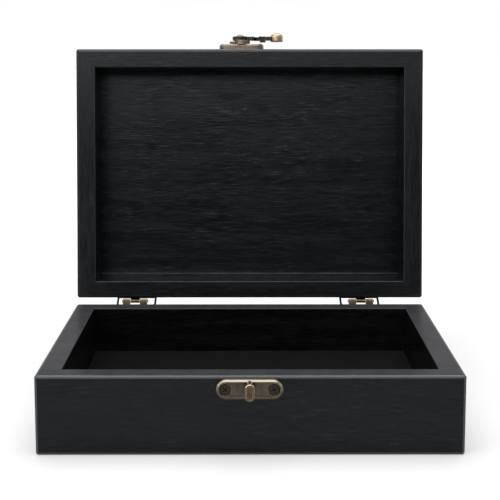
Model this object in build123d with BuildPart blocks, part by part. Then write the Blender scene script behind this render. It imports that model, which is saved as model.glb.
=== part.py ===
from build123d import *
import math
import os

# Keepsake box with a deep hinged lid, shown open. Millimetres.
# Origin at the middle of the base underside, X to the right, Y to the back, Z up.
# Lid pieces are drawn closed, then turned open about the hinge pins.

# Box
box_width = 178.0
box_depth = 128.0
base_height = 33.8
lid_height = 32.0
base_wall = 10.0
lid_side_wall = 9.6
lid_front_wall = 9.3
lid_back_wall = 8.5
edge_round = 1.0
corner_round = 1.3
inner_round = 0.4
parting_gap = 0.2
open_angle = 96.0

# Bottom panel, felt and lid panel
bottom_thickness = 5.0
bottom_height = 6.2
groove_depth = 4.0
panel_play = 0.15
felt_thickness = 1.0
felt_side_gap = 1.0
felt_end_gap = 0.5
lid_panel_thickness = 3.8
lid_rabbet = 5.0

# Hinge barrel and pin, placed from the ends, the back face and the rim of the base
hinge_insets = {"left": 29.8, "right": 31.6}
pin_back = 1.8
pin_rise = 1.1
pin_radius = 0.45
pin_play = 0.03
pin_overhang = 0.5
pin_head_radius = 0.65
pin_head_round = 0.35
knuckle_radius = 0.95
knuckle_middle = 4.6
knuckle_outer = 3.9
knuckle_gap = 0.12
web_inner = (-0.71, 0.38)
web_outer = (0.14, -0.66)

# Hinge leaves
leaf_thickness = 0.7
leaf_length = 16.6
leaf_setback = 1.5
leaf_corner = 1.6
leaf_screw_spacing = 6.6
leaf_screw_reach = 14.2

# Stop bail, a wire ring carried in an eye on the base leaf, and the lip that catches it
bail_wire = 1.1
bail_width = 19.6
bail_length = 13.0
bail_foot_round = 7.8
bail_tip_round = 0.8
bail_back = 1.5
bail_drop = 4.0
bail_play = 0.05
bail_eye_radius = 0.95
bail_eye_length = 3.6
bail_rest_gap = 0.1
lip_gap = 0.15
lip_thickness = 0.7
lip_height = 1.5
lip_width = 3.0

# Screws
cross_width = 0.5
cross_depth = 0.5
cross_share = 0.6
thread_play = 0.02
hole_play = 0.1
pilot_spare = 0.2
leaf_screw_shank = 0.8
leaf_screw_head = 1.45
leaf_screw_dome = 0.6
leaf_screw_length = 6.0
leaf_screw_point = 1.3
leaf_screw_turns = (20.0, 65.0, 38.0, 80.0)
plate_screw_shank = 1.1
plate_screw_sink = 0.25
plate_screw_edge = 0.3
plate_screw_cone = 1.2
plate_screw_length = 9.0
plate_screw_point = 2.0
keeper_screw_head = 2.25
keeper_hole_radius = 2.6
keeper_screw_spacing = 20.1
keeper_screw_turns = (42.0, 24.0)
latch_screw_head = 1.75
latch_hole_radius = 2.0
latch_screw_spacing = 16.4
latch_screw_turns = (12.0, 58.0)

# Keeper plate and hook on the base front
plate_bevel = 0.7
keeper_x = -0.3
keeper_length = 27.5
keeper_height = 8.4
keeper_thickness = 2.6
keeper_drop = 1.0
keeper_rim = 0.5
keeper_rim_depth = 0.35
hook_stem_radius = 1.15
hook_stem_drop = 2.3
hook_head_width = 4.25
hook_head_height = 7.3
hook_head_thickness = 1.7
hook_head_round = 0.6
hook_reach = 8.5
hook_dish_rim = 0.85
hook_dish_depth = 0.2

# Latch plate on the lid front
latch_plate_x = -4.2
latch_plate_length = 22.7
latch_plate_height = 8.0
latch_plate_thickness = 2.7
boss_x = -3.8
boss_radius = 4.0
boss_height = 1.9
lug_reach = 2.5
lug_width = 3.0
lug_height = 1.4

# Latch arm, rivet and knob
pivot_x = -4.8
pivot_reach = 8.6
arm_gap = 0.08
arm_thickness = 1.9
arm_disc_radius = 4.0
arm_width = 3.0
claw_radius = 3.1
claw_width = 3.0
claw_reach = 2.4
claw_step = 1.05
notch_width = 2.75
rivet_radius = 1.3
rivet_play = 0.05
rivet_head_radius = 2.1
rivet_head_height = 1.1
knob_reach = 18.7
knob_radius = 3.25
knob_low = 4.05
knob_side = 2.2
knob_top = 8.5
knob_round = 0.4

# Places worked out from the sizes above
rim = base_height
lid_rim = rim + parting_gap
lid_top = lid_rim + lid_height
back_face = box_depth / 2
front_face = -box_depth / 2
pin_y = back_face + pin_back
pin_z = rim + pin_rise
floor_top = bottom_height + bottom_thickness
hinge_xs = {
    "left": hinge_insets["left"] - box_width / 2,
    "right": box_width / 2 - hinge_insets["right"],
}
barrel_length = 2 * knuckle_outer + knuckle_middle + 2 * knuckle_gap
keeper_z = rim - keeper_drop - keeper_height / 2
keeper_seat = keeper_thickness - keeper_rim_depth
stem_z = rim - hook_stem_drop
pivot_z = stem_z + math.sqrt(pivot_reach**2 - (keeper_x - pivot_x) ** 2)
boss_out = latch_plate_thickness + boss_height
arm_out = boss_out + arm_gap
arm_top = arm_out + arm_thickness


def turned(angle, y, z):
    """The move that turns a piece back about a line along X."""
    return Location((0, y, z), (-angle, 0, 0)) * Location((0, -y, -z))


# The bail leans back until its tip lies just off the opened lid leaf
lean = math.radians(open_angle - 90)
tip_height = pin_back - leaf_thickness - bail_wire / 2 - bail_rest_gap
foot_y = bail_back - pin_back
foot_z = -bail_drop - pin_rise
foot_height = foot_y * math.sin(lean) + foot_z * math.cos(lean)
bail_lean = math.acos((tip_height - foot_height) / bail_length) + lean
tip_y = foot_y + bail_length * math.sin(bail_lean)
tip_z = foot_z + bail_length * math.cos(bail_lean)
tip_reach = tip_y * math.cos(lean) - tip_z * math.sin(lean)
lip_reach = tip_reach + bail_wire / 2 + lip_gap
bail_swing = math.degrees(bail_lean)
bail_y = back_face + bail_back
bail_z = rim - bail_drop
lid_pose = turned(open_angle, pin_y, pin_z)
bail_pose = turned(bail_swing, bail_y, bail_z)

os.makedirs("parts", exist_ok=True)


def save(piece, name, pose=Location()):
    """Puts a finished piece in its rest pose, labels it and writes it."""
    piece.part = pose * piece.part
    piece.part.label = name
    export_step(piece.part, f"parts/{name}.step")


def front_plane(x, z, out=0.0):
    """A plane on the front at a point, standing off the wood and facing forward."""
    return Plane(origin=(x, front_face - out, z), x_dir=(1, 0, 0), z_dir=(0, -1, 0))


def pair(x, z, spacing):
    """The two places of a plate's screws, each facing out of the wood."""
    return [front_plane(x + side * spacing / 2, z) for side in (-1, 1)]


def leaf_screw_planes(turn):
    """The places of the leaf screws on the back face: turn is 1 for the base and -1 for the lid."""
    z = pin_z - turn * leaf_screw_reach
    return [
        Plane(origin=(x + side * leaf_screw_spacing / 2, back_face, z), z_dir=(0, 1, 0))
        for x in hinge_xs.values()
        for side in (-1, 1)
    ]


keeper_screw_planes = pair(keeper_x, keeper_z, keeper_screw_spacing)
latch_screw_planes = pair(latch_plate_x, pivot_z, latch_screw_spacing)


# Wooden frames, whose walls have their widths by side
base_walls = dict.fromkeys(("front", "back", "left", "right"), base_wall)
lid_walls = {
    "front": lid_front_wall,
    "back": lid_back_wall,
    "left": lid_side_wall,
    "right": lid_side_wall,
}


def frame(low, height, walls):
    """A box frame with its outside rounded."""
    middle = ((walls["left"] - walls["right"]) / 2, (walls["front"] - walls["back"]) / 2)
    with BuildPart() as piece:
        with BuildSketch(Plane.XY.offset(low)) as outline:
            Rectangle(box_width, box_depth)
            fillet(outline.vertices(), radius=corner_round)
            with Locations(middle):
                Rectangle(
                    box_width - walls["left"] - walls["right"],
                    box_depth - walls["front"] - walls["back"],
                    mode=Mode.SUBTRACT,
                )
        extrude(amount=height)
        for end in (0, -1):
            fillet(piece.faces().sort_by(Axis.Z)[end].outer_wire().edges(), radius=edge_round)
    return piece


def housing(piece, low, height, inset):
    """Cuts the groove or rabbet that takes a panel, as far in from the outside as is stated."""
    with BuildPart() as cut:
        with BuildSketch(Plane.XY.offset(low)):
            Rectangle(box_width - 2 * inset, box_depth - 2 * inset)
        extrude(amount=height)
    with BuildPart() as housed:
        add(piece.part)
        add(cut.part, mode=Mode.SUBTRACT)
    return housed


def mitres(side, walls):
    """The two planes that part one wall of a frame from the rest, each facing that wall."""
    x, y = box_width / 2, box_depth / 2
    outward = -1 if side in ("front", "left") else 1
    planes = []
    for end in (-1, 1):
        if side in ("front", "back"):
            across = walls["left" if end < 0 else "right"]
            corner = (end * x, outward * y, 0)
            facing = (-end * walls[side], outward * across, 0)
        else:
            across = walls["front" if end < 0 else "back"]
            corner = (outward * x, end * y, 0)
            facing = (outward * across, -end * walls[side], 0)
        planes.append(Plane(origin=corner, z_dir=facing))
    return planes


def wall(whole, side, walls, rim_z, pilot_planes=(), pilot_radius=0.0, pilot_depth=0.0):
    """One mitred wall, its inner edge softened at the rim, with the pilot holes its screws need."""
    along, inward = (Axis.X, Axis.Y) if side in ("front", "back") else (Axis.Y, Axis.X)
    with BuildPart() as piece:
        add(whole.part)
        for plane in mitres(side, walls):
            split(bisect_by=plane, keep=Keep.TOP)
        at_rim = piece.edges().filter_by(along).filter_by_position(Axis.Z, rim_z, rim_z)
        fillet(at_rim.sort_by(inward)[-1 if side in ("front", "left") else 0], radius=inner_round)
        for plane in pilot_planes:
            with BuildSketch(plane):
                Circle(pilot_radius + thread_play)
            extrude(amount=-pilot_depth - pilot_spare, mode=Mode.SUBTRACT)
    return piece


bottom_inset = base_wall - groove_depth
panel_inset = lid_side_wall - lid_rabbet
base_frame = housing(
    frame(0, base_height, base_walls), bottom_height, bottom_thickness, bottom_inset
)
lid_frame = housing(
    frame(lid_rim, lid_height, lid_walls), lid_top, -lid_panel_thickness, panel_inset
)

keeper_pilot = plate_screw_length - keeper_seat + plate_screw_sink
latch_pilot = plate_screw_length - latch_plate_thickness + plate_screw_sink
leaf_pilot = leaf_screw_length - leaf_thickness
pilots = {
    "base_front": (keeper_screw_planes, plate_screw_shank, keeper_pilot),
    "base_back": (leaf_screw_planes(1), leaf_screw_shank, leaf_pilot),
    "lid_front": (latch_screw_planes, plate_screw_shank, latch_pilot),
    "lid_back": (leaf_screw_planes(-1), leaf_screw_shank, leaf_pilot),
}
for side in base_walls:
    base_pilots = pilots.get(f"base_{side}", ())
    lid_pilots = pilots.get(f"lid_{side}", ())
    save(wall(base_frame, side, base_walls, rim, *base_pilots), f"base_{side}")
    save(wall(lid_frame, side, lid_walls, lid_rim, *lid_pilots), f"lid_{side}", lid_pose)


# Panels and lining
with BuildPart() as base_bottom:
    with BuildSketch(Plane.XY.offset(bottom_height)):
        inset = bottom_inset + panel_play
        Rectangle(box_width - 2 * inset, box_depth - 2 * inset)
    extrude(amount=bottom_thickness)
save(base_bottom, "base_bottom")

with BuildPart() as felt_lining:
    with BuildSketch(Plane.XY.offset(floor_top)):
        Rectangle(
            box_width - 2 * (base_wall + felt_side_gap),
            box_depth - 2 * (base_wall + felt_end_gap),
        )
    extrude(amount=felt_thickness)
save(felt_lining, "felt_lining")

with BuildPart() as lid_panel:
    with BuildSketch(Plane.XY.offset(lid_top)):
        inset = panel_inset + panel_play
        Rectangle(box_width - 2 * inset, box_depth - 2 * inset)
    extrude(amount=-lid_panel_thickness)
save(lid_panel, "lid_panel", lid_pose)


# Screws, drawn along Z with the wood face at z = 0 and the point below
def cross(top, head_radius):
    """The cross recess of a screw whose head has its top at a height."""
    length = 2 * cross_share * head_radius
    with BuildPart() as cut:
        with BuildSketch(Plane.XY.offset(top)):
            Rectangle(length, cross_width)
            Rectangle(cross_width, length)
        extrude(amount=-cross_depth)
    return cut


def plate_screw(seat, head_radius):
    """A countersunk screw whose head lies just under the face of its plate."""
    top = seat - plate_screw_sink
    tip = top - plate_screw_length
    recess = cross(top, head_radius)
    with BuildPart() as screw:
        with BuildSketch(Plane.XZ):
            with BuildLine():
                Polyline(
                    (0, top),
                    (head_radius, top),
                    (head_radius, top - plate_screw_edge),
                    (plate_screw_shank, top - plate_screw_cone),
                    (plate_screw_shank, tip + plate_screw_point),
                    (0, tip),
                    close=True,
                )
            make_face()
        revolve(axis=Axis.Z)
        add(recess.part, mode=Mode.SUBTRACT)
    return screw


def countersink(seat, head_radius, hole_radius):
    """The shape cut from a plate for that screw, wider than its head at the face."""
    top = seat - plate_screw_sink
    bore = plate_screw_shank + hole_play
    cone_slope = (head_radius - plate_screw_shank) / (plate_screw_cone - plate_screw_edge)
    with BuildPart() as cut:
        with BuildSketch(Plane.XZ):
            with BuildLine():
                Polyline(
                    (0, seat + plate_bevel),
                    (hole_radius, seat + plate_bevel),
                    (hole_radius, top - plate_screw_edge),
                    (head_radius, top - plate_screw_edge),
                    (bore, top - plate_screw_cone + hole_play / cone_slope),
                    (bore, -plate_bevel),
                    (0, -plate_bevel),
                    close=True,
                )
            make_face()
        revolve(axis=Axis.Z)
    return cut


def leaf_screw():
    """A small domed screw that holds a hinge leaf."""
    tip = leaf_thickness - leaf_screw_length
    recess = cross(leaf_thickness + leaf_screw_dome, leaf_screw_head)
    with BuildPart() as screw:
        with BuildSketch(Plane.XZ):
            with BuildLine():
                RadiusArc(
                    (0, leaf_thickness + leaf_screw_dome),
                    (leaf_screw_head, leaf_thickness),
                    (leaf_screw_head**2 + leaf_screw_dome**2) / (2 * leaf_screw_dome),
                )
                Polyline(
                    (leaf_screw_head, leaf_thickness),
                    (leaf_screw_shank, leaf_thickness),
                    (leaf_screw_shank, tip + leaf_screw_point),
                    (0, tip),
                    (0, leaf_thickness + leaf_screw_dome),
                )
            make_face()
        revolve(axis=Axis.Z)
        add(recess.part, mode=Mode.SUBTRACT)
    return screw


def group(screw, planes, turns):
    """The same screw at each of its places and driven to its own turn, as separate solids."""
    with BuildPart() as screws:
        for plane, turn in zip(planes, turns):
            with Locations(plane.location * Rotation(0, 0, turn)):
                add(screw.part)
    return screws


keeper_screw = plate_screw(keeper_seat, keeper_screw_head)
latch_screw = plate_screw(latch_plate_thickness, latch_screw_head)
base_leaf_screws = group(leaf_screw(), leaf_screw_planes(1), leaf_screw_turns)
lid_leaf_screws = group(leaf_screw(), leaf_screw_planes(-1), leaf_screw_turns)
save(group(keeper_screw, keeper_screw_planes, keeper_screw_turns), "keeper_screws")
save(group(latch_screw, latch_screw_planes, latch_screw_turns), "latch_screws", lid_pose)
save(base_leaf_screws, "base_leaf_screws")
save(lid_leaf_screws, "lid_leaf_screws", lid_pose)


# Hinges, where turn is 1 for what lies below the pin and -1 for what lies above it
def side_plane(x, y, z):
    """A plane across the hinge, facing right, with Y and Z as its own axes."""
    return Plane(origin=(x, y, z), x_dir=(0, 1, 0), z_dir=(1, 0, 0))


def knuckle(left, length, turn):
    """A knuckle round the pin with the web that joins it to its leaf."""
    web_low = -turn * (leaf_setback + leaf_thickness)
    with BuildPart() as piece:
        with BuildSketch(side_plane(left, pin_y, pin_z)):
            Circle(knuckle_radius)
            with BuildLine():
                Polyline(
                    (-pin_back, web_low),
                    (-pin_back, -turn * leaf_setback),
                    (web_inner[0], turn * web_inner[1]),
                    (web_outer[0], turn * web_outer[1]),
                    (leaf_thickness - pin_back, web_low),
                    close=True,
                )
            make_face()
            Circle(pin_radius + pin_play, mode=Mode.SUBTRACT)
        extrude(amount=length)
    return piece


def flat(x, turn):
    """The flat of a leaf on the back face, running away from the pin."""
    middle = pin_z - turn * (leaf_setback + leaf_length) / 2
    with BuildPart() as piece:
        with BuildSketch(Plane.XZ.offset(-back_face)) as outline:
            with Locations((x, middle)):
                Rectangle(barrel_length, leaf_length - leaf_setback)
            far = outline.vertices().group_by(Axis.Y)[0 if turn > 0 else -1]
            fillet(far, radius=leaf_corner)
            with Locations((x, pin_z - turn * leaf_screw_reach)):
                with GridLocations(leaf_screw_spacing, 0, 2, 1):
                    Circle(leaf_screw_shank + hole_play, mode=Mode.SUBTRACT)
        extrude(amount=-leaf_thickness)
    return piece


def base_leaf(x):
    """Leaf of the base, with the two outer knuckles and the eye that carries the bail."""
    knuckles = [
        knuckle(left, knuckle_outer, 1)
        for left in (x - barrel_length / 2, x + barrel_length / 2 - knuckle_outer)
    ]
    plate = flat(x, 1)
    with BuildPart() as piece:
        add(plate.part)
        with BuildSketch(Plane.XZ.offset(-back_face)):
            with Locations((x, pin_z - leaf_setback)):
                Rectangle(knuckle_middle + 2 * knuckle_gap, 2 * leaf_thickness)
        extrude(amount=-leaf_thickness, mode=Mode.SUBTRACT)
        for each in knuckles:
            add(each.part)
        with BuildSketch(side_plane(x - bail_eye_length / 2, bail_y, bail_z)):
            Circle(bail_eye_radius)
            with Locations((-bail_back / 2, 0)):
                Rectangle(bail_back, 2 * bail_eye_radius)
        extrude(amount=bail_eye_length)
        with BuildSketch(side_plane(x - bail_eye_length / 2, bail_y, bail_z)):
            Circle(bail_wire / 2 + bail_play)
        extrude(amount=bail_eye_length, mode=Mode.SUBTRACT)
    return piece


def lid_leaf(x):
    """Leaf of the lid, with the middle knuckle and the lip that catches the bail."""
    plate = flat(x, -1)
    middle = knuckle(x - knuckle_middle / 2, knuckle_middle, -1)
    with BuildPart() as piece:
        add(plate.part)
        add(middle.part)
        with BuildSketch(Plane.XY.offset(pin_z + lip_reach)):
            with Locations((x, back_face)):
                Rectangle(lip_width, leaf_thickness + lip_height, align=(Align.CENTER, Align.MIN))
        extrude(amount=lip_thickness)
    return piece


def hinge_pin(x):
    """Pin through the three knuckles, peened over at each end."""
    with BuildPart() as piece:
        with BuildSketch(side_plane(x - barrel_length / 2, pin_y, pin_z)):
            Circle(pin_radius)
        extrude(amount=barrel_length)
        for left in (x - barrel_length / 2 - pin_overhang, x + barrel_length / 2):
            with BuildSketch(side_plane(left, pin_y, pin_z)):
                Circle(pin_head_radius)
            extrude(amount=pin_overhang)
        rings = piece.edges().filter_by(GeomType.CIRCLE).group_by(Axis.X)
        fillet(rings[0] + rings[-1], radius=pin_head_round)
    return piece


def stop_bail(x):
    """Closed wire ring, drawn upright, with its foot in the eye of the base leaf."""
    half = bail_width / 2
    with BuildPart() as piece:
        with BuildLine(Plane.XZ.offset(-bail_y)) as ring:
            FilletPolyline(
                (x - half, bail_z),
                (x - half, bail_z + bail_length),
                (x + half, bail_z + bail_length),
                (x + half, bail_z),
                radius=[bail_foot_round, bail_tip_round, bail_tip_round, bail_foot_round],
                close=True,
            )
        with BuildSketch(Plane(origin=ring.wire() @ 0, z_dir=ring.wire() % 0)):
            Circle(bail_wire / 2)
        sweep()
    return piece


for side, hinge_x in hinge_xs.items():
    save(base_leaf(hinge_x), f"{side}_base_leaf")
    save(lid_leaf(hinge_x), f"{side}_lid_leaf", lid_pose)
    save(hinge_pin(hinge_x), f"{side}_hinge_pin")
    save(stop_bail(hinge_x), f"{side}_stop_bail", bail_pose)


# Keeper on the base front
def round_plate(plane, length, height, thickness):
    """The start of a plate with round ends and a bevelled front edge."""
    with BuildPart() as piece:
        with BuildSketch(plane):
            SlotOverall(length, height)
        extrude(amount=thickness)
        chamfer(piece.faces().sort_by(Axis.Y)[0].edges(), length=plate_bevel)
    return piece


keeper_plane = front_plane(keeper_x, keeper_z)
keeper_blank = round_plate(keeper_plane, keeper_length, keeper_height, keeper_thickness)
keeper_sink = countersink(keeper_seat, keeper_screw_head, keeper_hole_radius)
with BuildPart() as keeper_plate:
    add(keeper_blank.part)
    with BuildSketch(keeper_plane.offset(keeper_thickness)):
        inset = 2 * (plate_bevel + keeper_rim)
        SlotOverall(keeper_length - inset, keeper_height - inset)
    extrude(amount=-keeper_rim_depth, mode=Mode.SUBTRACT)
    with Locations(*keeper_screw_planes):
        add(keeper_sink.part, mode=Mode.SUBTRACT)
    with BuildSketch(front_plane(keeper_x, stem_z)):
        Circle(hook_stem_radius)
    extrude(amount=keeper_thickness, mode=Mode.SUBTRACT)
save(keeper_plate, "keeper_plate")

with BuildPart() as keeper_hook:
    with BuildSketch(front_plane(keeper_x, stem_z)):
        Circle(hook_stem_radius)
    extrude(amount=hook_reach - hook_head_thickness)
    head_z = stem_z + hook_stem_radius - hook_head_height / 2
    head_plane = front_plane(keeper_x, head_z, hook_reach - hook_head_thickness)
    with BuildSketch(head_plane):
        SlotOverall(hook_head_height, hook_head_width, rotation=90)
    extrude(amount=hook_head_thickness)
    fillet(keeper_hook.faces().sort_by(Axis.Y)[0].edges(), radius=hook_head_round)
    with BuildSketch(head_plane.offset(hook_head_thickness)):
        SlotOverall(
            hook_head_height - 2 * hook_dish_rim,
            hook_head_width - 2 * hook_dish_rim,
            rotation=90,
        )
    extrude(amount=-hook_dish_depth, mode=Mode.SUBTRACT)
save(keeper_hook, "keeper_hook")


# Latch on the lid front
latch_plane = front_plane(latch_plate_x, pivot_z)
latch_blank = round_plate(latch_plane, latch_plate_length, latch_plate_height, latch_plate_thickness)
latch_sink = countersink(latch_plate_thickness, latch_screw_head, latch_hole_radius)
with BuildPart() as latch_plate:
    add(latch_blank.part)
    with Locations(*latch_screw_planes):
        add(latch_sink.part, mode=Mode.SUBTRACT)
    with BuildSketch(front_plane(boss_x, pivot_z, latch_plate_thickness)):
        Rectangle(boss_radius + lug_reach, lug_width, align=(Align.MAX, Align.CENTER))
    extrude(amount=lug_height)
    with BuildSketch(front_plane(boss_x, pivot_z, latch_plate_thickness)):
        Circle(boss_radius)
    extrude(amount=boss_height)
    with BuildSketch(front_plane(pivot_x, pivot_z)):
        Circle(rivet_radius)
    extrude(amount=boss_out, mode=Mode.SUBTRACT)

with BuildPart() as latch_arm:
    arm_plane = front_plane(pivot_x, pivot_z, arm_out)
    notch_outer = pivot_reach + notch_width / 2
    claw_middle = notch_outer + claw_width / 2
    with BuildSketch(arm_plane):
        Circle(arm_disc_radius)
        Rectangle(knob_reach, arm_width, align=(Align.MIN, Align.CENTER))
        with Locations((knob_reach, 0)):
            Circle(arm_width / 2)
        with Locations((pivot_reach, 0)):
            Circle(claw_radius)
        with Locations((claw_middle, 0)):
            Rectangle(claw_width, claw_reach, align=(Align.CENTER, Align.MAX))
        Circle(rivet_radius + rivet_play, mode=Mode.SUBTRACT)
    extrude(amount=arm_thickness)
    with BuildSketch(arm_plane):
        with Locations((claw_middle, 0)):
            Rectangle(claw_width, claw_reach, align=(Align.CENTER, Align.MAX))
    extrude(amount=-claw_step)
    with BuildSketch(arm_plane.offset(-claw_step)):
        Circle(notch_outer)
        Circle(pivot_reach - notch_width / 2, mode=Mode.SUBTRACT)
        Rectangle(2 * notch_outer, notch_outer, align=(Align.CENTER, Align.MIN), mode=Mode.SUBTRACT)
        with Locations((pivot_reach, 0)):
            Circle(notch_width / 2)
    extrude(amount=arm_thickness + claw_step, mode=Mode.SUBTRACT)

with BuildPart() as latch_knob:
    with BuildSketch(Plane.XZ):
        with BuildLine():
            shoulder = knob_low + knob_side
            Polyline((0, knob_top), (0, knob_low), (knob_radius, knob_low), (knob_radius, shoulder))
            Spline(
                (knob_radius, shoulder),
                (knob_radius * math.sqrt(0.5), shoulder + (knob_top - shoulder) * math.sqrt(0.5)),
                (0, knob_top),
                tangents=((0, 1), (-1, 0)),
            )
        make_face()
    revolve(axis=Axis.Z)
    fillet(latch_knob.faces().sort_by(Axis.Z)[0].edges(), radius=knob_round)
    latch_knob.part = front_plane(pivot_x + knob_reach, pivot_z).location * latch_knob.part
    add(latch_arm.part, mode=Mode.SUBTRACT)

with BuildPart() as latch_rivet:
    rivet_seat = arm_top + arm_gap
    with BuildSketch(Plane.XZ):
        with BuildLine():
            RadiusArc(
                (0, rivet_seat + rivet_head_height),
                (rivet_head_radius, rivet_seat),
                (rivet_head_radius**2 + rivet_head_height**2) / (2 * rivet_head_height),
            )
            Polyline(
                (rivet_head_radius, rivet_seat),
                (rivet_radius, rivet_seat),
                (rivet_radius, 0),
                (0, 0),
                (0, rivet_seat + rivet_head_height),
            )
        make_face()
    revolve(axis=Axis.Z)
    latch_rivet.part = front_plane(pivot_x, pivot_z).location * latch_rivet.part

for piece, name in (
    (latch_plate, "latch_plate"),
    (latch_arm, "latch_arm"),
    (latch_knob, "latch_knob"),
    (latch_rivet, "latch_rivet"),
):
    save(piece, name, lid_pose)

latched = -math.degrees(math.atan2(pivot_z - stem_z, keeper_x - pivot_x))
print(f"pin at y {pin_y:.3f} z {pin_z:.3f}, bail foot at y {bail_y:.3f} z {bail_z:.3f}")
print(f"bail swing {bail_swing:.3f}, ratio {bail_swing / open_angle:.5f}, lip reach {lip_reach:.3f}")
print(f"latch pivot x {pivot_x:.3f} z {pivot_z:.3f} closed, latched at {latched:.3f} degrees")
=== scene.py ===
"""Looks of an open keepsake box: black stained wood, a felt lined tray and aged brass fittings.

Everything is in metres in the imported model's own frame: origin at the middle of the base's
footprint, X to the right, Y from the latch to the hinges, Z up, with the lid stored open.
"""

import logging
import math
from dataclasses import dataclass
from enum import Enum
from typing import NamedTuple, Sequence

import bpy
import numpy as np
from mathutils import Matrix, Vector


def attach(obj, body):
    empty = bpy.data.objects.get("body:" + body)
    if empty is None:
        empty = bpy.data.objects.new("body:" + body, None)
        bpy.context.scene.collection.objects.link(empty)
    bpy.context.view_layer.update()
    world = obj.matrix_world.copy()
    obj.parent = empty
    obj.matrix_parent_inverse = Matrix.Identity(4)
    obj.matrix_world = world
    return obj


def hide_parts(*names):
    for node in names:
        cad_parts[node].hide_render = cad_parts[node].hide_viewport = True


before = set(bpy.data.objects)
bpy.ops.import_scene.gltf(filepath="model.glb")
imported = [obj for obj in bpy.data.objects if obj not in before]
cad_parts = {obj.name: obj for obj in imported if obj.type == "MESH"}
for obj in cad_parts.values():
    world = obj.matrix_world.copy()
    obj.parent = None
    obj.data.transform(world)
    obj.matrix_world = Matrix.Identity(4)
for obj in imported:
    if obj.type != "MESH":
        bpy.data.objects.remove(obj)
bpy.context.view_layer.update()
LOG = logging.getLogger("keepsake_box")

MM = 0.001
BOX_WIDTH = 178.0
BOX_DEPTH = 128.0
OPEN_ANGLE = 96.0
PIN_Y = 65.8
PIN_Z = 34.9
PER_METRE = 1000.0
CLOSE_SAMPLES = 6
WHITE = (1.0, 1.0, 1.0, 1.0)
NOISE_MIDDLE = (0.5, 0.5, 0.5)

Colour = tuple[float, float, float]
Point = tuple[float, float, float]
Shares = tuple[float, float]


class Noise(NamedTuple):
    """The settings of one fractal noise: features to a unit, finer layers and their strength."""

    scale: float
    detail: float
    roughness: float = 0.5


class Span(NamedTuple):
    """The two values between which a smooth ramp runs, and its results at them."""

    low: float
    high: float
    out_low: object = 0.0
    out_high: object = 1.0

    def to(self, out_low: object, out_high: object) -> "Span":
        """The same ramp with other results.

        Args:
            out_low: The result at low and beyond, a number or a socket.
            out_high: The result at high and beyond, a number or a socket.

        Returns:
            The new span.
        """
        return self._replace(out_low=out_low, out_high=out_high)


class Grain(Enum):
    """The way a wooden member's grain runs, in the closed box's own axes."""

    ALONG_WIDTH = (0.08, 1.0, 1.0)
    ALONG_DEPTH = (1.0, 0.08, 1.0)


class Pose(Enum):
    """Whether a member belongs to the level base or to the tilted lid."""

    BASE = 0.0
    LID = OPEN_ANGLE


@dataclass(frozen=True)
class Shell:
    """The sizes of one mitred frame, in the closed box's millimetres."""

    name: str
    pose: Pose
    low: float
    high: float
    rim: float
    side_wall: float
    front_wall: float
    back_wall: float
    # Width of the paler edges, which are partly wear and partly a painted highlight.
    wear_and_highlight_width: float


BASE_SHELL = Shell("base", Pose.BASE, 0.0, 33.8, 33.8, 10.0, 10.0, 10.0, 1.10)
LID_SHELL = Shell("lid", Pose.LID, 34.0, 66.0, 34.0, 9.6, 9.3, 8.5, 1.45)


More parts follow.
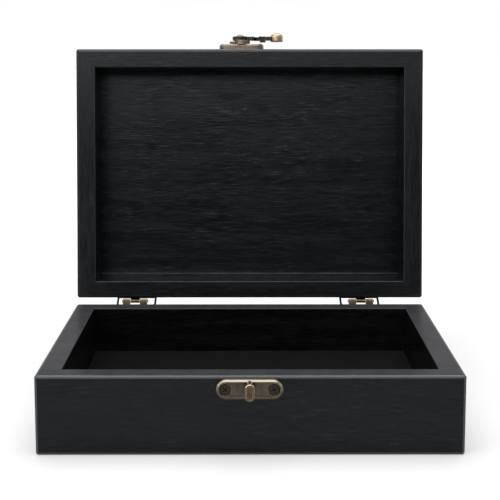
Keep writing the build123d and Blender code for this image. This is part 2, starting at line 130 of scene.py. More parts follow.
class Graph:
    """A small builder of the shader nodes of one material or world."""

    def __init__(
        self,
        owner: bpy.types.Material | bpy.types.World,
        output: str = "ShaderNodeOutputMaterial",
    ) -> None:
        """Starts with only the output node.

        Args:
            owner: The material or world that gets the nodes.
            output: The output node's type.
        """
        self.owner = owner
        owner.use_nodes = True
        self.tree = owner.node_tree
        self.tree.nodes.clear()
        self.output = self.tree.nodes.new(output)

    @classmethod
    def named(cls, name: str) -> "Graph":
        """Starts a new material.

        Args:
            name: The material's name.

        Returns:
            Its graph.
        """
        return cls(bpy.data.materials.new(name))

    def add(self, kind: str, inputs: dict | None = None, **settings: object) -> bpy.types.Node:
        """Adds a node, with its settings and its inputs.

        Args:
            kind: The node's type.
            inputs: Socket name or number to a value or another node's output.
            **settings: The node's own properties.

        Returns:
            The new node.
        """
        node = self.tree.nodes.new(kind)
        for key, value in settings.items():
            setattr(node, key, value)
        for key, value in (inputs or {}).items():
            if isinstance(value, bpy.types.NodeSocket):
                self.tree.links.new(value, node.inputs[key])
            else:
                node.inputs[key].default_value = value
        return node

    def math(self, operation: str, *values: object) -> bpy.types.NodeSocket:
        """One sum on numbers or sockets.

        Args:
            operation: The Math node's operation.
            *values: Its inputs in order.

        Returns:
            The result's socket.
        """
        return self.add("ShaderNodeMath", dict(enumerate(values)), operation=operation).outputs[0]

    def weigh(
        self, first: bpy.types.NodeSocket, second: bpy.types.NodeSocket, shares: Shares
    ) -> bpy.types.NodeSocket:
        """Adds two sockets, each times its own share.

        Args:
            first: The first number's socket.
            second: The second number's socket.
            shares: What each of the two is multiplied by.

        Returns:
            The sum's socket.
        """
        weighed = (self.math("MULTIPLY", *pair) for pair in zip((first, second), shares))
        return self.math("ADD", *weighed)

    def vector(self, operation: str, first: object, second: object) -> bpy.types.NodeSocket:
        """One sum on vectors.

        Args:
            operation: The Vector Math node's operation.
            first: A vector or a socket.
            second: A vector or a socket.

        Returns:
            The resulting vector's socket.
        """
        node = self.add("ShaderNodeVectorMath", {0: first, 1: second}, operation=operation)
        return node.outputs[0]

    def between(
        self, share: bpy.types.NodeSocket, first: object, second: object
    ) -> bpy.types.NodeSocket:
        """Mixes two numbers by a share of the second.

        Args:
            share: How much of the second number counts.
            first: A number or a socket.
            second: A number or a socket.

        Returns:
            The mixed number's socket.
        """
        mix = self.add("ShaderNodeMix", {0: share, 2: first, 3: second}, data_type="FLOAT")
        return mix.outputs[0]

    def ramp(self, value: bpy.types.NodeSocket, span: Span) -> bpy.types.NodeSocket:
        """Maps a value smoothly from one range to another.

        Args:
            value: The socket that is mapped.
            span: The range and the results at its ends.

        Returns:
            The mapped value's socket.
        """
        limits = dict(zip(("From Min", "From Max", "To Min", "To Max"), span))
        node = self.add(
            "ShaderNodeMapRange", {"Value": value, **limits}, interpolation_type="SMOOTHSTEP"
        )
        return node.outputs["Result"]

    def noise(
        self, vector: bpy.types.NodeSocket, noise: Noise, output: str = "Fac"
    ) -> bpy.types.NodeSocket:
        """Fractal noise from 0 to 1.

        Args:
            vector: Where it is read.
            noise: Its settings.
            output: "Fac" for one number, or "Color" for three.

        Returns:
            The noise's socket.
        """
        scale, detail, roughness = noise
        node = self.add(
            "ShaderNodeTexNoise",
            {"Vector": vector, "Scale": scale, "Detail": detail, "Roughness": roughness},
        )
        return node.outputs[output]

    def blend(
        self, share: bpy.types.NodeSocket, first: object, second: object
    ) -> bpy.types.NodeSocket:
        """Mixes two colours by a share of the second.

        Args:
            share: How much of the second colour shows.
            first: A colour or a socket.
            second: A colour or a socket.

        Returns:
            The mixed colour's socket.
        """
        node = self.add("ShaderNodeMix", data_type="RGBA")
        for slot, value in ((0, share), (6, first), (7, second)):
            if isinstance(value, bpy.types.NodeSocket):
                self.tree.links.new(value, node.inputs[slot])
            else:
                node.inputs[slot].default_value = (*value, 1.0)
        return node.outputs[2]

    def dot(self, first: object, second: object) -> bpy.types.NodeSocket:
        """The dot product of two vectors.

        Args:
            first: A vector or a socket.
            second: A vector or a socket.

        Returns:
            The product's socket.
        """
        node = self.add("ShaderNodeVectorMath", {0: first, 1: second}, operation="DOT_PRODUCT")
        return node.outputs["Value"]

    def lean(self, normal: bpy.types.NodeSocket, radius: float) -> bpy.types.NodeSocket:
        """How far a bevelled normal leans from the true one, which tells where the edges are.

        Args:
            normal: The true normal's socket.
            radius: The bevel's radius in millimetres.

        Returns:
            A socket that is 1 on a flat face and less near an edge.
        """
        bevel = self.add("ShaderNodeBevel", {"Radius": radius * MM}, samples=CLOSE_SAMPLES)
        return self.dot(normal, bevel.outputs[0])

    def sky(self, reach: float) -> bpy.types.NodeSocket:
        """How much of the sky is open close to a point, which tells where the hollows are.

        Args:
            reach: How far away a surface still hides it, in millimetres.

        Returns:
            A socket that is 1 in the open and less in a hollow.
        """
        node = self.add(
            "ShaderNodeAmbientOcclusion", {"Distance": reach * MM}, samples=CLOSE_SAMPLES
        )
        return node.outputs["AO"]

    def bump(
        self, height: bpy.types.NodeSocket, relief: float, strength: float
    ) -> bpy.types.NodeSocket:
        """A normal that follows a small relief.

        Args:
            height: The relief's height from 0 to 1.
            relief: How high 1 is, in millimetres.
            strength: How much of the relief shows.

        Returns:
            The normal's socket.
        """
        node = self.add(
            "ShaderNodeBump", {"Strength": strength, "Distance": relief * MM, "Height": height}
        )
        return node.outputs[0]

    def millimetres(self, pose: Pose = Pose.BASE) -> bpy.types.NodeSocket:
        """Object coordinates in millimetres, with the lid's turned back to its closed place.

        A point p on the lid becomes R(p - pin) + pin, where R turns it about X by the open angle.

        Args:
            pose: Whether the piece is on the base or on the lid.

        Returns:
            The coordinates' socket.
        """
        place = self.add("ShaderNodeTexCoord").outputs["Object"]
        turn = math.radians(pose.value)
        moved_y = PIN_Y - (PIN_Y * math.cos(turn) - PIN_Z * math.sin(turn))
        moved_z = PIN_Z - (PIN_Y * math.sin(turn) + PIN_Z * math.cos(turn))
        node = self.add(
            "ShaderNodeMapping",
            {
                "Vector": place,
                "Location": (0.0, moved_y, moved_z),
                "Rotation": (turn, 0.0, 0.0),
                "Scale": (PER_METRE, PER_METRE, PER_METRE),
            },
            vector_type="POINT",
        )
        return node.outputs[0]

    def finish(self, shader: bpy.types.NodeSocket) -> bpy.types.Material | bpy.types.World:
        """Joins the shader to the output.

        Args:
            shader: The finished surface.

        Returns:
            The material or world.
        """
        self.tree.links.new(shader, self.output.inputs["Surface"])
        return self.owner


@dataclass(frozen=True)
class StainedWood:
    """Open-grained wood under black stain and a thin satin lacquer."""

    deep: Colour = (0.0024, 0.0025, 0.0029)
    worn: Colour = (0.0050, 0.0052, 0.0060)
    # A painted glint: the pale colour of the ridges where they catch the light.
    painted_glint: Colour = (0.075, 0.078, 0.086)
    pale_line: Colour = (0.150, 0.155, 0.165)
    # Paler edges: partly wear and partly a painted highlight of the rounded edges.
    arris_wear_and_highlight: Colour = (0.085, 0.088, 0.094)
    # A painted sheen of the light from above on the base's level rim.
    painted_rim_sheen: Colour = (0.050, 0.051, 0.054)
    gap: Colour = (0.0008, 0.0008, 0.0009)
    gloss_tint: Colour = (0.88, 0.94, 1.0)
    glint_share: float = 0.07
    roughness: float = 0.27
    specular: float = 0.30
    arris_roughness: float = 0.34
    arris_specular: float = 0.38
    rim_specular: float = 0.008
    relief: float = 0.025
    sheen: float = 0.5
    pores: float = 0.25
    sway: Noise = Noise(0.045, 1.0)
    bend: Point = (2.6, 2.6, 2.6)
    broad: Noise = Noise(0.16, 3.0, 0.55)
    fibres: Noise = Noise(1.5, 4.0, 0.62)
    dashes: Noise = Noise(1.55, 2.0, 0.55)
    patches: Noise = Noise(0.035, 2.0)
    stain_shares: Shares = (0.6, 0.4)
    height_shares: Shares = (0.6, 0.8)
    bump_strength: float = 1.0
    sheen_unevenness: Noise = Noise(0.09, 3.0, 0.6)
    line_variation: Noise = Noise(0.12, 3.0)
    patch_span: Span = Span(0.36, 0.64, 0.30, 0.90)
    stain_span: Span = Span(0.40, 0.62)
    peak_span: Span = Span(0.56, 0.74)
    trough_span: Span = Span(0.46, 0.32)
    fine_gloss: Span = Span(0.30, 0.70, -0.04, 0.05)
    broad_gloss: Span = Span(0.35, 0.65, -0.03, 0.03)
    dull_span: Span = Span(0.0, 0.7)
    rim_span: Span = Span(0.30, 0.10)
    sheen_unevenness_span: Span = Span(0.30, 0.70, 0.75, 1.0)
    # Shares of the paler edge colour, wear and painted highlight, on the front and the other walls.
    front_wear_and_highlight: float = 1.0
    other_wear_and_highlight: float = 0.12
    edge_softness: float = 0.12
    inner_span: Span = Span(0.42, 0.25, 0.0, 0.45)
    mitre_span: Span = Span(0.10, 0.26, 0.8, 0.0)
    foot_inset: float = 1.25
    foot_span: Span = Span(0.20, 0.36, 0.8, 0.0)
    line_variation_span: Span = Span(0.38, 0.60, 0.5, 1.0)

    def material(
        self, name: str, grain: Grain, shell: Shell, side: str | None = None
    ) -> bpy.types.Material:
        """Makes the wood of one member.

        The coordinates are bent a little and drawn out along the grain, so that every noise becomes
        wavy fibres. Broad noise sets the depth of the stain and fine noise the fibres. A third
        noise gives short dashes: its peaks are glossy ridges with a painted glint of pale colour,
        its troughs are dull and dark, and both come in patches. The base's level rim is dull and
        gets a painted sheen of pale colour. The outer and inner edges are glossier, as the lacquer
        is thick there, and paler, partly as wear and partly as a painted highlight.

        Args:
            name: The material's name.
            grain: Which way the grain runs.
            shell: The frame that the member belongs to.
            side: The wall's side, or None for a panel.

        Returns:
            The material.
        """
        graph = Graph.named(name)
        place = graph.millimetres(shell.pose)
        sway = graph.vector("SUBTRACT", graph.noise(place, self.sway, "Color"), NOISE_MIDDLE)
        bent = graph.vector("ADD", place, graph.vector("MULTIPLY", sway, self.bend))
        drawn = graph.vector("MULTIPLY", bent, grain.value)
        broad = graph.noise(drawn, self.broad)
        fibres = graph.noise(drawn, self.fibres)
        dashes = graph.noise(drawn, self.dashes)
        patches = graph.ramp(graph.noise(place, self.patches), self.patch_span)
        stain = graph.ramp(graph.weigh(broad, fibres, self.stain_shares), self.stain_span)
        colour = graph.blend(stain, self.deep, self.worn)
        peaks = graph.math("MULTIPLY", graph.ramp(dashes, self.peak_span), patches)
        troughs = graph.math("MULTIPLY", graph.ramp(dashes, self.trough_span), patches)
        # Painted glints: the peaks of the dashes are paler where the ridges catch the light.
        colour = graph.blend(graph.math("MULTIPLY", peaks, self.glint_share), colour, self.painted_glint)
        colour = graph.blend(graph.math("MULTIPLY", troughs, self.pores), colour, self.gap)
        gloss = graph.math(
            "ADD", graph.ramp(fibres, self.fine_gloss), graph.ramp(broad, self.broad_gloss)
        )
        roughness = graph.math("ADD", self.roughness, gloss)
        ridges = graph.math("MULTIPLY", peaks, self.sheen * self.specular)
        dulled = graph.math("MULTIPLY", troughs, self.pores * self.specular)
        specular = graph.math("SUBTRACT", graph.math("ADD", self.specular, ridges), dulled)
        if side is None and shell.pose is Pose.LID:
            colour = graph.blend(self.foot_line(graph, place, shell), colour, self.pale_line)
        if side is not None:
            if shell.pose is Pose.BASE:
                # Painted sheen: the level rim is paler where the light from above falls, and less
                # glossy.
                pale_tone = self.rim(graph, place, shell)
                colour = graph.blend(pale_tone, colour, self.painted_rim_sheen)
                dull = graph.ramp(pale_tone, self.dull_span)
                specular = graph.between(dull, specular, self.rim_specular)
            # Edges made paler: partly wear and partly a painted highlight; their gloss is the
            # lacquer's.
            worn = self.edges(graph, place, shell, side)
            colour = graph.blend(worn, colour, self.arris_wear_and_highlight)
            roughness = graph.between(worn, roughness, self.arris_roughness)
            specular = graph.between(worn, specular, self.arris_specular)
            colour = graph.blend(self.mitre(graph, place, shell), colour, self.gap)
        height = graph.weigh(fibres, dashes, self.height_shares)
        surface = graph.add(
            "ShaderNodeBsdfPrincipled",
            {
                "Base Color": colour,
                "Roughness": roughness,
                "Specular IOR Level": specular,
                "Specular Tint": (*self.gloss_tint, 1.0),
                "Normal": graph.bump(height, self.relief, self.bump_strength),
            },
        )
        return graph.finish(surface.outputs[0])

    @staticmethod
    def insets(graph: Graph, place: bpy.types.NodeSocket) -> tuple[bpy.types.NodeSocket, ...]:
        """How far in from the box's ends and from its front or back a point lies.

        Args:
            graph: The material's nodes.
            place: Coordinates of the closed box in millimetres.

        Returns:
            The inset from the ends, the inset from the front or back, and the height.
        """
        split = graph.add("ShaderNodeSeparateXYZ", {0: place})
        from_end = graph.math("SUBTRACT", BOX_WIDTH / 2, graph.math("ABSOLUTE", split.outputs[0]))
        from_side = graph.math("SUBTRACT", BOX_DEPTH / 2, graph.math("ABSOLUTE", split.outputs[1]))
        return from_end, from_side, split.outputs[2]

    def edges(
        self, graph: Graph, place: bpy.types.NodeSocket, shell: Shell, side: str
    ) -> bpy.types.NodeSocket:
        """How near a point is to a rounded edge, whose paler colour is partly wear and partly a
        painted highlight.

        Of the three insets from the outer faces, one is nothing on a flat face and two are small
        only on an edge, so the middle one of the three tells how near the edge is. The inner
        edge is near where the rim and the wall's inner face both are. Hands wear the front most,
        and the front, which faces the light, also gets the most painted highlight.

        Args:
            graph: The material's nodes.
            place: Coordinates of the closed box in millimetres.
            shell: The frame that the wall belongs to.
            side: The wall's side.

        Returns:
            A socket from 0 on the flats to 1 in the middle of an edge.
        """
        from_end, from_side, height = self.insets(graph, place)
        from_foot = graph.math("SUBTRACT", height, shell.low)
        from_top = graph.math("SUBTRACT", shell.high, height)
        upright = graph.math("MINIMUM", from_foot, from_top)
        least = graph.math("MINIMUM", from_end, from_side)
        most = graph.math("MAXIMUM", from_end, from_side)
        middle = graph.math("MAXIMUM", least, graph.math("MINIMUM", most, upright))
        outer_share = self.front_wear_and_highlight if side == "front" else self.other_wear_and_highlight
        width, soft = shell.wear_and_highlight_width, self.edge_softness
        outer = graph.ramp(middle, Span(width + soft, width - soft, 0.0, outer_share))
        walls = {"front": shell.front_wall, "back": shell.back_wall}
        inset = from_side if side in walls else from_end
        wall = walls.get(side, shell.side_wall)
        from_inside = graph.math("ABSOLUTE", graph.math("SUBTRACT", wall, inset))
        from_rim = graph.math("ABSOLUTE", graph.math("SUBTRACT", height, shell.rim))
        inner = graph.ramp(graph.math("MAXIMUM", from_inside, from_rim), self.inner_span)
        return graph.math("MAXIMUM", outer, inner)

    def rim(self, graph: Graph, place: bpy.types.NodeSocket, shell: Shell) -> bpy.types.NodeSocket:
        """How much painted sheen the level rim gets, where the light from above falls on it.

        Args:
            graph: The material's nodes.
            place: Coordinates of the closed box in millimetres.
            shell: The frame that the wall belongs to.

        Returns:
            A socket that is nothing off the rim and uneven along it.
        """
        height = self.insets(graph, place)[2]
        near = graph.ramp(graph.math("SUBTRACT", shell.rim, height), self.rim_span)
        uneven = graph.ramp(graph.noise(place, self.sheen_unevenness), self.sheen_unevenness_span)
        return graph.math("MULTIPLY", near, uneven)

    def mitre(
        self, graph: Graph, place: bpy.types.NodeSocket, shell: Shell
    ) -> bpy.types.NodeSocket:
        """How much of a joint's hairline shows at a point.

        A mitre runs from the outer corner to the inner one, so on it the inset from the end is to
        the side wall's width as the inset from the front or back is to that wall's width.

        Args:
            graph: The material's nodes.
            place: Coordinates of the closed box in millimetres.
            shell: The frame that the wall belongs to.

        Returns:
            The hairline's socket, 1 on the joint and 0 away from it.
        """
        from_end, from_side, _ = self.insets(graph, place)
        depth = graph.add("ShaderNodeSeparateXYZ", {0: place}).outputs[1]
        behind = graph.math("GREATER_THAN", depth, 0.0)
        width = graph.math(
            "ADD",
            shell.front_wall,
            graph.math("MULTIPLY", behind, shell.back_wall - shell.front_wall),
        )
        scaled = graph.math("MULTIPLY", graph.math("DIVIDE", from_side, width), shell.side_wall)
        away = graph.math("ABSOLUTE", graph.math("SUBTRACT", from_end, scaled))
        return graph.ramp(away, self.mitre_span)

    def foot_line(
        self, graph: Graph, place: bpy.types.NodeSocket, shell: Shell
    ) -> bpy.types.NodeSocket:
        """A thin pale line on the lid's panel just off the wall on the hinge side.

        Args:
            graph: The material's nodes.
            place: Coordinates of the closed box in millimetres.
            shell: The frame that the panel belongs to.

        Returns:
            The line's socket, whose strength varies along it.
        """
        depth = graph.add("ShaderNodeSeparateXYZ", {0: place}).outputs[1]
        middle = BOX_DEPTH / 2 - shell.back_wall - self.foot_inset
        away = graph.math("ABSOLUTE", graph.math("SUBTRACT", depth, middle))
        line_strength = graph.ramp(graph.noise(place, self.line_variation), self.line_variation_span)
        return graph.math("MULTIPLY", graph.ramp(away, self.foot_span), line_strength)


@dataclass(frozen=True)
class AgedMetal:
    """Metal with a dark patina and painted shade in its hollows, and edges made bright by wear and
    a painted highlight.
    """

    patina_and_shade: Colour
    body: Colour
    pale_tone: Colour
    roughness: float = 0.30
    edge: float = 0.25
    hollow: float = 1.6
    mottle: float = 0.35
    facing: Point | None = None
    bevel_wear_and_highlight_share: float = 0.6
    clouds: Noise = Noise(0.35, 3.0, 0.55)
    specks: Noise = Noise(2.6, 3.0, 0.6)
    tone_shares: Shares = (0.6, 0.4)
    edge_span: Span = Span(0.995, 0.92)
    mottle_span: Span = Span(0.54, 0.40)
    hollow_span: Span = Span(0.92, 0.52)
    bevel_span: Span = Span(0.95, 0.85)
    gloss_span: Span = Span(0.30, 0.70, -0.04, 0.08)
    relief: float = 0.02
    bump_strength: float = 0.35

    def material(self, name: str) -> bpy.types.Material:
        """Makes the metal.

        The edges are found by how far a bevelled normal leans from the true one, and the hollows
        by how much of the sky is hidden close by, also by other parts. The edges are made bright,
        partly as wear and partly as a painted highlight. A plate's bevels, which lean away from the
        way the plate faces, get the same bright colour as a painted highlight and as wear.

        Args:
            name: The material's name.

        Returns:
            The material.
        """
        graph = Graph.named(name)
        place = graph.millimetres()
        clouds = graph.noise(place, self.clouds)
        specks = graph.noise(place, self.specks)
        normal = graph.add("ShaderNodeNewGeometry").outputs["Normal"]
        edges = graph.ramp(graph.lean(normal, self.edge), self.edge_span)
        sky = graph.sky(self.hollow)
        tone = graph.weigh(clouds, specks, self.tone_shares)
        darker = graph.ramp(tone, self.mottle_span.to(0.0, self.mottle))
        colour = graph.blend(darker, self.body, self.patina_and_shade)
        # Patina and painted shade: where the sky is hidden, in hollows and beside other parts, the
        # colour goes dark.
        colour = graph.blend(graph.ramp(sky, self.hollow_span), colour, self.patina_and_shade)
        # Edges made bright: partly wear and partly a painted highlight.
        colour = graph.blend(edges, colour, self.pale_tone)
        if self.facing is not None:
            flat = graph.dot(normal, self.facing)
            # Bevels made bright as well: a painted highlight, and wear.
            bevel_wear_and_highlight = graph.ramp(flat, self.bevel_span.to(0.0, self.bevel_wear_and_highlight_share))
            colour = graph.blend(bevel_wear_and_highlight, colour, self.pale_tone)
        surface = graph.add(
            "ShaderNodeBsdfPrincipled",
            {
                "Base Color": colour,
                "Metallic": 1.0,
                "Roughness": graph.math("ADD", self.roughness, graph.ramp(specks, self.gloss_span)),
                "Normal": graph.bump(specks, self.relief, self.bump_strength),
            },
        )
        return graph.finish(surface.outputs[0])


@dataclass(frozen=True)
class BlackenedSteel:
    """Steel under a thin black oxide, a little greenish, with fine wear."""

    oxide: Colour = (0.0060, 0.0064, 0.0055)
    bare: Colour = (0.060, 0.062, 0.054)
    recess_shade: Colour = (0.0010, 0.0009, 0.0008)
    roughness: float = 0.45
    specular: float = 0.35
    wear: float = 0.5
    speck_share: float = 0.4
    edge: float = 0.15
    hollow: float = 0.9
    grit: Noise = Noise(1.8, 4.0, 0.65)
    hollow_span: Span = Span(0.90, 0.58)
    speck_span: Span = Span(0.58, 0.74)
    edge_span: Span = Span(0.99, 0.90)
    gloss_span: Span = Span(0.30, 0.70, -0.05, 0.08)
    relief: float = 0.02
    bump_strength: float = 0.4

    def material(self, name: str) -> bpy.types.Material:
        """Makes the steel: dark oxide worn through by fine noise and at the edges, with painted
        black shade in its recesses.

        Args:
            name: The material's name.

        Returns:
            The material.
        """
        graph = Graph.named(name)
        place = graph.millimetres()
        grit = graph.noise(place, self.grit)
        normal = graph.add("ShaderNodeNewGeometry").outputs["Normal"]
        lean = graph.lean(normal, self.edge)
        sky = graph.sky(self.hollow)
        wear = graph.math(
            "MAXIMUM",
            graph.ramp(grit, self.speck_span.to(0.0, self.speck_share * self.wear)),
            graph.ramp(lean, self.edge_span.to(0.0, self.wear)),
        )
        # Painted shade: where little sky is open, in recesses and close to other parts, the colour
        # goes black.
        hidden = graph.ramp(sky, self.hollow_span)
        colour = graph.blend(hidden, graph.blend(wear, self.oxide, self.bare), self.recess_shade)
        surface = graph.add(
            "ShaderNodeBsdfPrincipled",
            {
                "Base Color": colour,
                "Roughness": graph.math("ADD", self.roughness, graph.ramp(grit, self.gloss_span)),
                "Specular IOR Level": self.specular,
                "Normal": graph.bump(grit, self.relief, self.bump_strength),
            },
        )
        return graph.finish(surface.outputs[0])


@dataclass(frozen=True)
class BlackFelt:
    """Thin black felt with a short matted pile."""

    fibre: Colour = (0.0022, 0.0023, 0.0027)
    lint: Colour = (0.0046, 0.0048, 0.0056)
    clumps: Noise = Noise(0.25, 3.0, 0.6)
    pile: Noise = Noise(1.6, 3.0, 0.65)
    lays: tuple[Point, ...] = ((0.25, 2.6, 1.0), (2.2, 0.3, 1.0))
    halves: Shares = (0.5, 0.5)
    lint_span: Span = Span(0.40, 0.64)
    roughness: float = 0.95
    specular: float = 0.05
    sheen: float = 0.02
    sheen_roughness: float = 0.5
    relief: float = 0.12
    bump_strength: float = 0.8

    def material(self, name: str) -> bpy.types.Material:
        """Makes the felt: clumps from broad noise, crossing fibres from two drawn-out noises.

        Args:
            name: The material's name.

        Returns:
            The material.
        """
        graph = Graph.named(name)
        place = graph.millimetres()
        clumps = graph.noise(place, self.clumps)
        first, second = (
            graph.noise(graph.vector("MULTIPLY", place, lay), self.pile) for lay in self.lays
        )
        pile = graph.weigh(first, second, self.halves)
        lint = graph.ramp(graph.weigh(clumps, pile, self.halves), self.lint_span)
        surface = graph.add(
            "ShaderNodeBsdfPrincipled",
            {
                "Base Color": graph.blend(lint, self.fibre, self.lint),
                "Roughness": self.roughness,
                "Specular IOR Level": self.specular,
                "Sheen Weight": self.sheen,
                "Sheen Roughness": self.sheen_roughness,
                "Normal": graph.bump(pile, self.relief, self.bump_strength),
            },
        )
        return graph.finish(surface.outputs[0])


def dress(names: Sequence[str], material: bpy.types.Material) -> None:
    """Gives CAD nodes one finish.

    Args:
        names: The nodes.
        material: Their finish.
    """
    for name in names:
        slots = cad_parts[name].data.materials
        slots.clear()
        slots.append(material)
        LOG.info("dressed %s with %s", name, material.name)


def grid_faces(rows: int, columns: int) -> np.ndarray:
    """The quads of a grid whose point (i, j) has the number i * columns + j.

    Args:
        rows: The number of rows of points.
        columns: The number of points in a row.

    Returns:
        An array of four point numbers to a face.
    """
    corner = (np.arange(rows - 1)[:, None] * columns + np.arange(columns - 1)[None, :]).ravel()
    return np.stack([corner, corner + 1, corner + columns + 1, corner + columns], axis=1)


def make_piece(
    name: str,
    points: np.ndarray,
    faces: np.ndarray,
    material: bpy.types.Material,
    body: str,
) -> bpy.types.Object:
    """Makes a smooth mesh piece that rides on a body.

    Args:
        name: The piece's name.
        points: Its points in metres.
        faces: Its faces as point numbers.
        material: Its finish.
        body: The body it rides on.

    Returns:
        The new object.
    """
    mesh = bpy.data.meshes.new(name)
    mesh.from_pydata(points.tolist(), [], faces.tolist())
    mesh.polygons.foreach_set("use_smooth", np.ones(len(mesh.polygons), bool))
    mesh.materials.append(material)
    mesh.update()
    piece = bpy.data.objects.new(name, mesh)
    bpy.context.scene.collection.objects.link(piece)
    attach(piece, body)
    LOG.info("made %s, %d faces", name, len(faces))
    return piece


@dataclass
class WoodenBox:
    """The mitred frames, panels and their stained finish."""

    frame_wood: StainedWood = StainedWood()
    panel_wood: StainedWood = StainedWood(
        deep=(0.0014, 0.0015, 0.0018),
        worn=(0.0032, 0.0034, 0.0040),
        glint_share=0.06,
        roughness=0.24,
        relief=0.026,
        sheen=1.6,
        pores=0.6,
    )

    def build(self) -> None:
        """Dresses each wooden node with its own grain."""
        for shell in (BASE_SHELL, LID_SHELL):
            for side in ("front", "back", "left", "right"):
                grain = Grain.ALONG_WIDTH if side in ("front", "back") else Grain.ALONG_DEPTH
                node = f"{shell.name}_{side}"
                dress([node], self.frame_wood.material(f"{node}_wood", grain, shell, side))
        across = Grain.ALONG_WIDTH
        dress(["base_bottom"], self.panel_wood.material("bottom_wood", across, BASE_SHELL))
        dress(["lid_panel"], self.panel_wood.material("panel_wood", across, LID_SHELL))


@dataclass
class FeltLining:
    """The felt laid on the floor of the tray, in the box's millimetres."""

    width: float = 156.0
    length: float = 107.0
    top: float = 12.2
    thickness: float = 0.9
    columns: int = 157
    rows: int = 108
    edge_round: float = 0.4
    edge_fall: float = 0.3
    wave_room: float = 0.1
    fine_wave: float = 0.05
    fine_reach: tuple[float, float] = (9.0, 11.0)
    meander: float = 1.3
    meander_reach: float = 23.0
    broad_wave: float = 0.04
    broad_reach: float = 31.0

    def surface(self) -> np.ndarray:
        """The upper side of the felt.

        Over the rectangle the height is the top less the waves' room, plus a fine wave whose
        crests meander and a broad one, and it falls by a quarter circle within the edge's round.

        Returns:
            The points of a grid in metres.
        """
        x = np.linspace(-self.width / 2, self.width / 2, self.columns)[None, :]
        y = np.linspace(-self.length / 2, self.length / 2, self.rows)[:, None]
        reach_x, reach_y = self.fine_reach
        phase = x / reach_x + self.meander * np.sin(y / self.meander_reach)
        fine = self.fine_wave * np.sin(phase) * np.cos(y / reach_y)
        waves = fine + self.broad_wave * np.sin(x / self.broad_reach)
        inward = np.minimum(self.width / 2 - np.abs(x), self.length / 2 - np.abs(y))
        near = np.clip(1.0 - inward / self.edge_round, 0.0, 1.0)
        z = self.top - self.wave_room + waves - self.edge_fall * (1.0 - np.sqrt(1.0 - near**2))
        grid = np.broadcast_arrays(x, y, z)
        return np.stack(grid, axis=-1).reshape(-1, 3) * MM

    def build(self) -> None:
        """Makes the sheet in place of its CAD solid."""
        piece = make_piece(
            "felt_sheet",
            self.surface(),
            grid_faces(self.rows, self.columns),
            BlackFelt().material("black_felt"),
            "base",
        )
        shell = piece.modifiers.new("thickness", "SOLIDIFY")
        shell.thickness = self.thickness * MM
        shell.offset = -1.0
        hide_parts("felt_lining")


@dataclass
class Fittings:
    """The hinges, latch and keeper with their metal finishes."""

    bronze: AgedMetal = AgedMetal(
        patina_and_shade=(0.030, 0.025, 0.017), body=(0.185, 0.155, 0.122), pale_tone=(0.62, 0.53, 0.41)
    )
    tarnish: AgedMetal = AgedMetal(
        patina_and_shade=(0.011, 0.009, 0.006),
        body=(0.112, 0.093, 0.071),
        pale_tone=(0.36, 0.31, 0.235),
        edge=0.2,
        hollow=2.0,
        facing=(0.0, -1.0, 0.0),
        bevel_wear_and_highlight_share=0.75,
    )
    smoky: AgedMetal = AgedMetal(
        patina_and_shade=(0.008, 0.008, 0.006), body=(0.040, 0.038, 0.030), pale_tone=(0.36, 0.33, 0.27)
    )
    polished: AgedMetal = AgedMetal(
        patina_and_shade=(0.060, 0.042, 0.022),
        body=(0.370, 0.290, 0.190),
        pale_tone=(0.55, 0.45, 0.31),
        roughness=0.20,
        mottle=0.2,
    )
    worn_hook: AgedMetal = AgedMetal(
        patina_and_shade=(0.030, 0.020, 0.007),
        body=(0.125, 0.092, 0.052),
        pale_tone=(0.46, 0.385, 0.27),
        roughness=0.22,
        edge=0.25,
        mottle=0.3,
        facing=(0.0, -1.0, 0.0),
        bevel_wear_and_highlight_share=0.8,
    )
    gilt: AgedMetal = AgedMetal(
        patina_and_shade=(0.012, 0.008, 0.003),
        body=(0.150, 0.112, 0.056),
        pale_tone=(0.74, 0.63, 0.43),
        roughness=0.20,
    )
    screws: BlackenedSteel = BlackenedSteel(
        oxide=(0.056, 0.043, 0.030),
        bare=(0.34, 0.28, 0.21),
        roughness=0.30,
        specular=0.12,
        wear=0.4,
        hollow_span=Span(1.0, 0.86),
    )
    wire: BlackenedSteel = BlackenedSteel(
        oxide=(0.0060, 0.0066, 0.0054), roughness=0.60, specular=0.12
    )

    def build(self) -> None:
        """Dresses every metal node."""
        sides = ("left", "right")
        dress(["latch_plate", "latch_rivet"], self.bronze.material("aged_bronze"))
        dress(["keeper_plate"], self.tarnish.material("tarnished_bronze"))
        dress(["latch_arm"], self.smoky.material("smoky_bronze"))
        dress(["latch_knob"], self.polished.material("polished_bronze"))
        dress(["keeper_hook"], self.worn_hook.material("worn_hook"))
        hinge_pieces = ("base_leaf", "lid_leaf", "hinge_pin")
        dress(
            [f"{side}_{piece}" for side in sides for piece in hinge_pieces],
            self.gilt.material("worn_gilt"),
        )
        dress(
            ["keeper_screws", "latch_screws", "base_leaf_screws", "lid_leaf_screws"],
            self.screws.material("blackened_screws"),
        )
        dress([f"{side}_stop_bail" for side in sides], self.wire.material("blackened_wire"))


@dataclass(frozen=True)
class Softbox:
    """A large soft rectangular lamp, in metres and watts."""

    name: str
    place: Point
    target: Point
    size: tuple[float, float]
    power: float

    def build(self) -> None:
        """Hangs the lamp and turns it to its target."""
        lamp = bpy.data.lights.new(self.name, "AREA")
        lamp.shape = "RECTANGLE"
        lamp.size, lamp.size_y = self.size
        lamp.energy = self.power
        holder = bpy.data.objects.new(self.name, lamp)
        bpy.context.scene.collection.objects.link(holder)
        holder.location = self.place
        aim = Vector(self.target) - Vector(self.place)
        holder.rotation_euler = aim.to_track_quat("-Z", "Y").to_euler()
        LOG.info("hung %s", self.name)


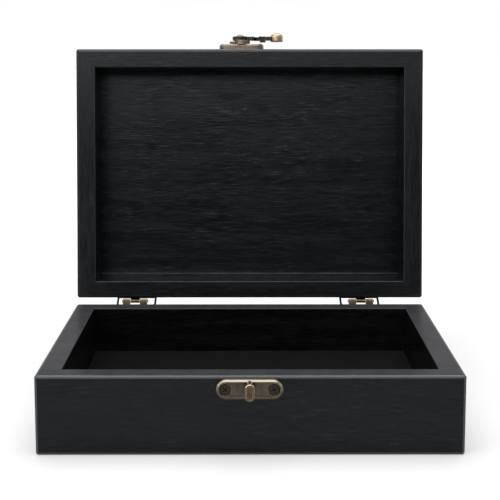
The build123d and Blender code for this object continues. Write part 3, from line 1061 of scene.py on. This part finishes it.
@dataclass
class Studio:
    """The pale floor, the soft lights, the white surroundings and the camera.

    The floor is in metres, and the camera's place and lens are in millimetres.
    """

    floor_size: float = 8.0
    floor_colour: Colour = (0.62, 0.62, 0.62)
    floor_lift: float = 0.34
    floor_level: float = -0.0001
    lift_span: Span = Span(0.15, 0.60)
    ambient: float = 0.25
    front: Span = Span(0.10, 0.30, 0.0, 3.05)
    window: Span = Span(0.30, -0.30, 0.55, 1.5)
    above: Span = Span(0.30, 0.46, 1.0, 0.22)
    behind: Span = Span(-0.60, 0.20)
    behind_level: float = 1.0
    ceiling: Span = Span(0.60, 0.95)
    ceiling_level: float = 0.50
    lamps: tuple[Softbox, ...] = (
        Softbox("top_light", (0.0, 0.10, 1.15), (0.0, 0.0, 0.0), (1.3, 1.5), 18.0),
        Softbox("key_light", (-0.95, -0.75, 0.95), (0.0, 0.05, 0.08), (0.7, 0.7), 3.0),
    )
    camera_place: Point = (-1.308, -543.385, 177.799)
    camera_pitch: float = 7.941
    camera_yaw: float = -0.136
    lens: float = 86.77
    sensor: float = 36.0
    shift: float = -0.12
    nearest: float = 0.01

    def build(self) -> None:
        """Sets the stage."""
        self.floor()
        self.surroundings()
        for lamp in self.lamps:
            lamp.build()
        self.camera()
        view = bpy.context.scene.view_settings
        view.view_transform = "Standard"

    def floor(self) -> None:
        """A flat sheet of pale card that the camera sees as white, and that is clear from below."""
        half = self.floor_size / 2
        signs = ((-1, -1), (1, -1), (1, 1), (-1, 1))
        corners = [(x * half, y * half, self.floor_level) for x, y in signs]
        mesh = bpy.data.meshes.new("floor")
        mesh.from_pydata(corners, [], [(0, 1, 2, 3)])
        floor = bpy.data.objects.new("floor", mesh)
        bpy.context.scene.collection.objects.link(floor)
        graph = Graph.named("pale_card")
        place = graph.add("ShaderNodeTexCoord").outputs["Object"]
        reach = graph.add("ShaderNodeVectorMath", {0: place}, operation="LENGTH").outputs["Value"]
        lift = graph.ramp(reach, self.lift_span.to(self.floor_lift, 1.0))
        seen = graph.add("ShaderNodeLightPath").outputs["Is Camera Ray"]
        card = graph.add("ShaderNodeBsdfDiffuse", {"Color": (*self.floor_colour, 1.0)})
        glow = graph.add(
            "ShaderNodeEmission",
            {"Color": WHITE, "Strength": graph.math("MULTIPLY", lift, seen)},
        )
        both = graph.add("ShaderNodeAddShader", {0: card.outputs[0], 1: glow.outputs[0]})
        below = graph.add("ShaderNodeNewGeometry").outputs["Backfacing"]
        clear = graph.add("ShaderNodeBsdfTransparent")
        sheet = graph.add(
            "ShaderNodeMixShader", {0: below, 1: both.outputs[0], 2: clear.outputs[0]}
        )
        mesh.materials.append(graph.finish(sheet.outputs[0]))

    def surroundings(self) -> None:
        """White all round for the camera, and behind the box for reflections too.

        In front, reflections see a dim room near the floor, and above it a broad bright window a
        little left of the camera. A ceiling of middling light closes the room overhead.
        """
        world = bpy.data.worlds.new("studio")
        bpy.context.scene.world = world
        graph = Graph(world, "ShaderNodeOutputWorld")
        direction = graph.add("ShaderNodeTexCoord").outputs["Generated"]
        x, y, z = graph.add("ShaderNodeSeparateXYZ", {0: direction}).outputs
        band = graph.math("MULTIPLY", graph.ramp(z, self.front), graph.ramp(x, self.window))
        band = graph.math("MULTIPLY", band, graph.ramp(z, self.above))
        around = graph.ramp(y, self.behind.to(band, self.behind_level))
        room = graph.ramp(z, self.ceiling.to(around, self.ceiling_level))
        path = graph.add("ShaderNodeLightPath").outputs
        strength = graph.between(path["Is Glossy Ray"], self.ambient, room)
        strength = graph.between(path["Is Transmission Ray"], strength, 1.0)
        strength = graph.between(path["Is Camera Ray"], strength, 1.0)
        background = graph.add("ShaderNodeBackground", {"Color": WHITE, "Strength": strength})
        graph.finish(background.outputs[0])

    def camera(self) -> None:
        """The photograph's view."""
        lens = bpy.data.cameras.new("camera")
        lens.sensor_width = self.sensor
        lens.lens = self.lens
        lens.shift_y = self.shift
        lens.clip_start = self.nearest
        holder = bpy.data.objects.new("camera", lens)
        bpy.context.scene.collection.objects.link(holder)
        holder.location = [value * MM for value in self.camera_place]
        holder.rotation_euler = (
            math.radians(90.0 - self.camera_pitch),
            0.0,
            math.radians(self.camera_yaw),
        )
        bpy.context.scene.camera = holder


def main() -> None:
    """Builds the looks in order."""
    logging.basicConfig(level=logging.INFO, format="%(name)s: %(message)s")
    for part in (Studio(), WoodenBox(), FeltLining(), Fittings()):
        part.build()


if __name__ == "__main__":
    main()
